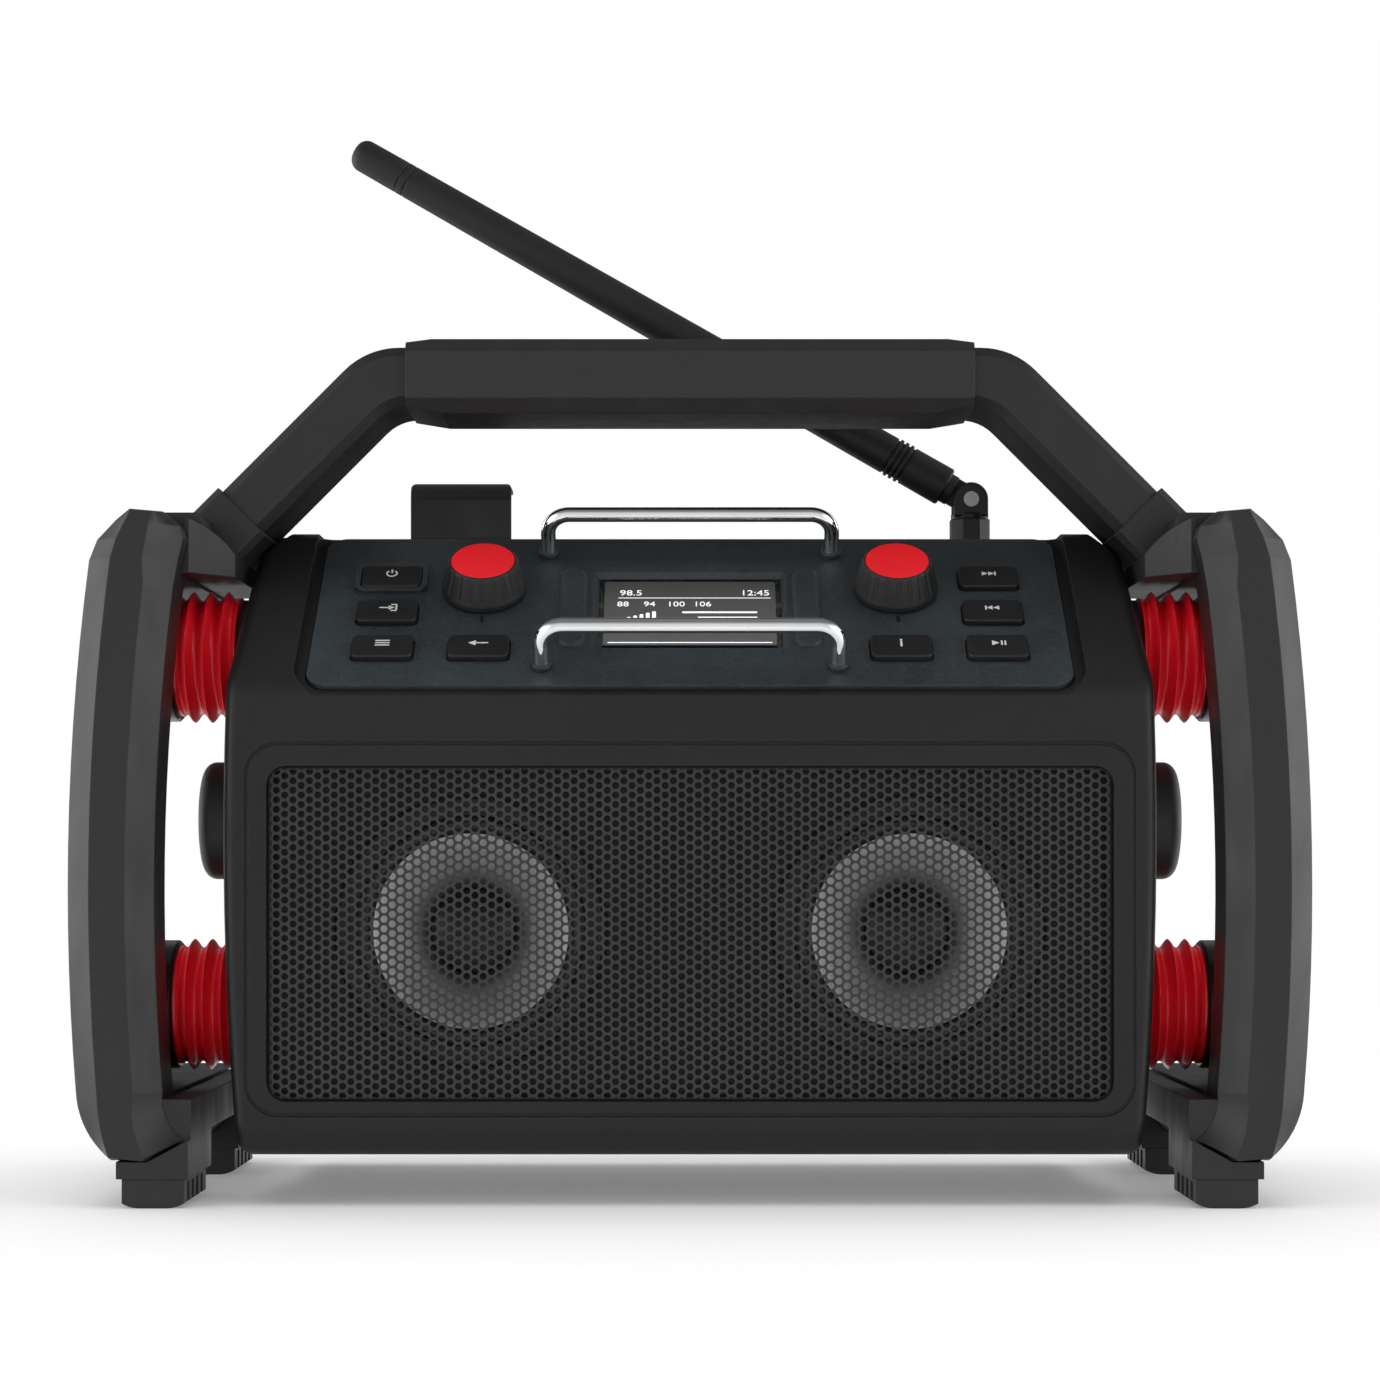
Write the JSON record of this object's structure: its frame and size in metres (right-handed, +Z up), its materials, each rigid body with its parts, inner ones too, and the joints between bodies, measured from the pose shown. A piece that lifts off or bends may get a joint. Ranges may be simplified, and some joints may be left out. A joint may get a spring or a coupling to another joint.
{
  "type": "jobsite radio",
  "caption": "Rugged worksite radio: sloped control panel, grille, caged by two side guards on rubber bellows, carrying handle and folding antenna.",
  "frame": {"origin": "on the floor under the middle of the overall width and depth", "axes": "+Z up, controls and grille face -Y, +X to the user's right"},
  "size_m": [0.384, 0.164, 0.3543],
  "materials": {
    "housing_plastic": "fine satin moulding",
    "guard_plastic": "satin moulding",
    "panel_plastic": "fine texture",
    "black_plastic": "satin",
    "battery_plastic": "satin",
    "key_rubber": "matte",
    "knob_rubber": "matte",
    "grip_rubber": "matte",
    "foot_rubber": "matte",
    "bellows_rubber": "glossy",
    "surround_rubber": "satin",
    "antenna_rubber": "matte",
    "red_disc": "satin",
    "black_gloss": "gloss",
    "display_glass": "clear",
    "board": "solder mask",
    "chrome": "polished",
    "steel": "plain",
    "basket_steel": "black paint",
    "magnet_iron": "plain",
    "cone_aluminium": "satin",
    "grille_metal": "powder coat"
  },
  "bodies": {
    "chassis": {"battery_pack": "battery_plastic", "control_panel": "panel_plastic", "display_module": "black_plastic", "display_window": "display_glass", "front_housing": "housing_plastic", "front_rail": "chrome", "handle_collars": "guard_plastic", "handle_frame": "guard_plastic", "handle_grip": "grip_rubber", "housing_screws": "steel", "key_board": "board", "knob_encoders": "steel", "left_bellows": "bellows_rubber", "left_bellows_cups": "black_gloss", "left_dust_cap": "black_gloss", "left_feet": "foot_rubber", "left_foot_rail": "guard_plastic", "left_guard": "guard_plastic", "left_handle_socket": "guard_plastic", "left_side_puck": "foot_rubber", "left_speaker_basket": "basket_steel", "left_speaker_cone": "cone_aluminium", "left_speaker_magnet": "magnet_iron", "left_speaker_surround": "surround_rubber", "main_board": "board", "power_inlet": "black_plastic", "rear_hook": "black_plastic", "rear_housing": "housing_plastic", "rear_rail": "chrome", "right_bellows": "bellows_rubber", "right_bellows_cups": "black_gloss", "right_dust_cap": "black_gloss", "right_feet": "foot_rubber", "right_foot_rail": "guard_plastic", "right_guard": "guard_plastic", "right_handle_socket": "guard_plastic", "right_side_puck": "foot_rubber", "right_speaker_basket": "basket_steel", "right_speaker_cone": "cone_aluminium", "right_speaker_magnet": "magnet_iron", "right_speaker_surround": "surround_rubber", "speaker_grille": "grille_metal", "speaker_screws": "black_plastic"},
    "battery_door_body": {"battery_door": "housing_plastic"},
    "volume_knob_body": {"volume_knob": "knob_rubber", "volume_knob_disc": "red_disc"},
    "tuning_knob_body": {"tuning_knob": "knob_rubber", "tuning_knob_disc": "red_disc"},
    "antenna_base": {"antenna_post": "black_gloss", "antenna_fork": "black_gloss", "antenna_pivot_screw": "black_gloss"},
    "antenna_rod": {"antenna_whip": "antenna_rubber"},
    "power_key_body": {"power_key": "key_rubber"},
    "source_key_body": {"source_key": "key_rubber"},
    "menu_key_body": {"menu_key": "key_rubber"},
    "back_key_body": {"back_key": "key_rubber"},
    "info_key_body": {"info_key": "key_rubber"},
    "next_key_body": {"next_key": "key_rubber"},
    "previous_key_body": {"previous_key": "key_rubber"},
    "play_key_body": {"play_key": "key_rubber"}
  },
  "joints": [
    {"name": "power_key_press", "type": "slide", "parent": "chassis", "child": "power_key_body", "axis": [0, 0.6276, -0.7786], "range_m": [0, 0.0014], "stiffness_N_per_m": 900, "springref_m": -0.0008},
    {"name": "source_key_press", "type": "slide", "parent": "chassis", "child": "source_key_body", "axis": [0, 0.6276, -0.7786], "range_m": [0, 0.0014], "stiffness_N_per_m": 900, "springref_m": -0.0008},
    {"name": "menu_key_press", "type": "slide", "parent": "chassis", "child": "menu_key_body", "axis": [0, 0.6276, -0.7786], "range_m": [0, 0.0014], "stiffness_N_per_m": 900, "springref_m": -0.0008},
    {"name": "back_key_press", "type": "slide", "parent": "chassis", "child": "back_key_body", "axis": [0, 0.6276, -0.7786], "range_m": [0, 0.0014], "stiffness_N_per_m": 900, "springref_m": -0.0008},
    {"name": "info_key_press", "type": "slide", "parent": "chassis", "child": "info_key_body", "axis": [0, 0.6276, -0.7786], "range_m": [0, 0.0014], "stiffness_N_per_m": 900, "springref_m": -0.0008},
    {"name": "next_key_press", "type": "slide", "parent": "chassis", "child": "next_key_body", "axis": [0, 0.6276, -0.7786], "range_m": [0, 0.0014], "stiffness_N_per_m": 900, "springref_m": -0.0008},
    {"name": "previous_key_press", "type": "slide", "parent": "chassis", "child": "previous_key_body", "axis": [0, 0.6276, -0.7786], "range_m": [0, 0.0014], "stiffness_N_per_m": 900, "springref_m": -0.0008},
    {"name": "play_key_press", "type": "slide", "parent": "chassis", "child": "play_key_body", "axis": [0, 0.6276, -0.7786], "range_m": [0, 0.0014], "stiffness_N_per_m": 900, "springref_m": -0.0008},
    {"name": "volume_knob_turn", "type": "hinge", "parent": "chassis", "child": "volume_knob_body", "pos_m": [-0.0662, -0.03374, 0.19393], "axis": [0, -0.6276, 0.7786], "continuous": true},
    {"name": "tuning_knob_turn", "type": "hinge", "parent": "chassis", "child": "tuning_knob_body", "pos_m": [0.0662, -0.03374, 0.19393], "axis": [0, -0.6276, 0.7786], "continuous": true},
    {"name": "antenna_swivel", "type": "hinge", "parent": "chassis", "child": "antenna_base", "pos_m": [0.096, 0.03, 0.2196], "axis": [0, 0, 1], "range_deg": [-180, 0]},
    {"name": "antenna_fold", "type": "hinge", "parent": "antenna_base", "child": "antenna_rod", "pos_m": [0.096, 0.03, 0.2306], "axis": [0, 1, 0], "range_deg": [-29, 150]},
    {"name": "battery_door_hinge", "type": "hinge", "parent": "chassis", "child": "battery_door_body", "pos_m": [0, 0.065, 0.047], "axis": [-1, 0, 0], "range_deg": [0, 92]}
  ]
}
